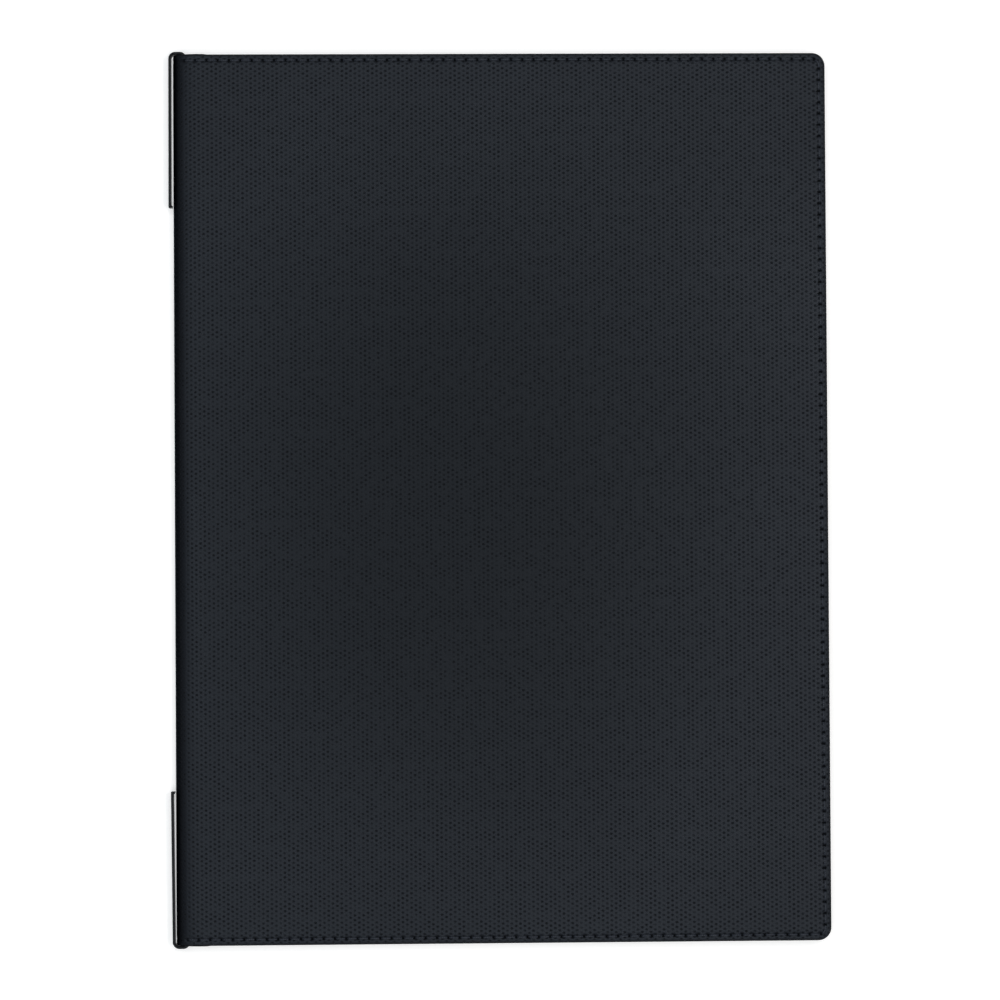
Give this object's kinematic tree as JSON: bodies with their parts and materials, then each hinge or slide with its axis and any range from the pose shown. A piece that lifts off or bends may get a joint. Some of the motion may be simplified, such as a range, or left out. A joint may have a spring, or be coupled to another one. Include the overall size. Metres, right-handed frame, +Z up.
{
  "type": "menu cover",
  "caption": "Closed A4 menu cover: two stiff stitched covers on one soft rolled spine, with a springy strap in the fold that holds the sheets. Opens flat.",
  "frame": {"origin": "middle of the back cover's outer face, on which the closed cover lies", "axes": "+Z up out of the front cover, +Y towards the head of the spine, +X from the spine to the fore edge"},
  "size_m": [0.2518, 0.3426, 0.008],
  "materials": {
    "skin": "embossed matte",
    "board": "raw greyboard",
    "lining": "matte",
    "strap": "satin"
  },
  "bodies": {
    "back_cover": {"back_skin": "skin", "back_hinge_skin": "skin", "back_board": "board", "back_lining": "lining"},
    "spine": {"spine_skin": "skin", "spine_lining": "lining", "spine_strap": "strap"},
    "front_cover": {"front_skin": "skin", "front_hinge_skin": "skin", "front_board": "board", "front_lining": "lining"}
  },
  "joints": [
    {"name": "spine_fold", "type": "hinge", "parent": "back_cover", "child": "spine", "pos_m": [-0.12462, 0, 0.00228], "axis": [0, -1, 0], "range_deg": [0, 90]},
    {"name": "front_fold", "type": "hinge", "parent": "spine", "child": "front_cover", "pos_m": [-0.12462, 0, 0.00572], "axis": [0, -1, 0], "range_deg": [0, 90]}
  ],
  "couplings": [
    {"joint": "spine_fold", "follows": "front_fold", "ratio": 1}
  ]
}
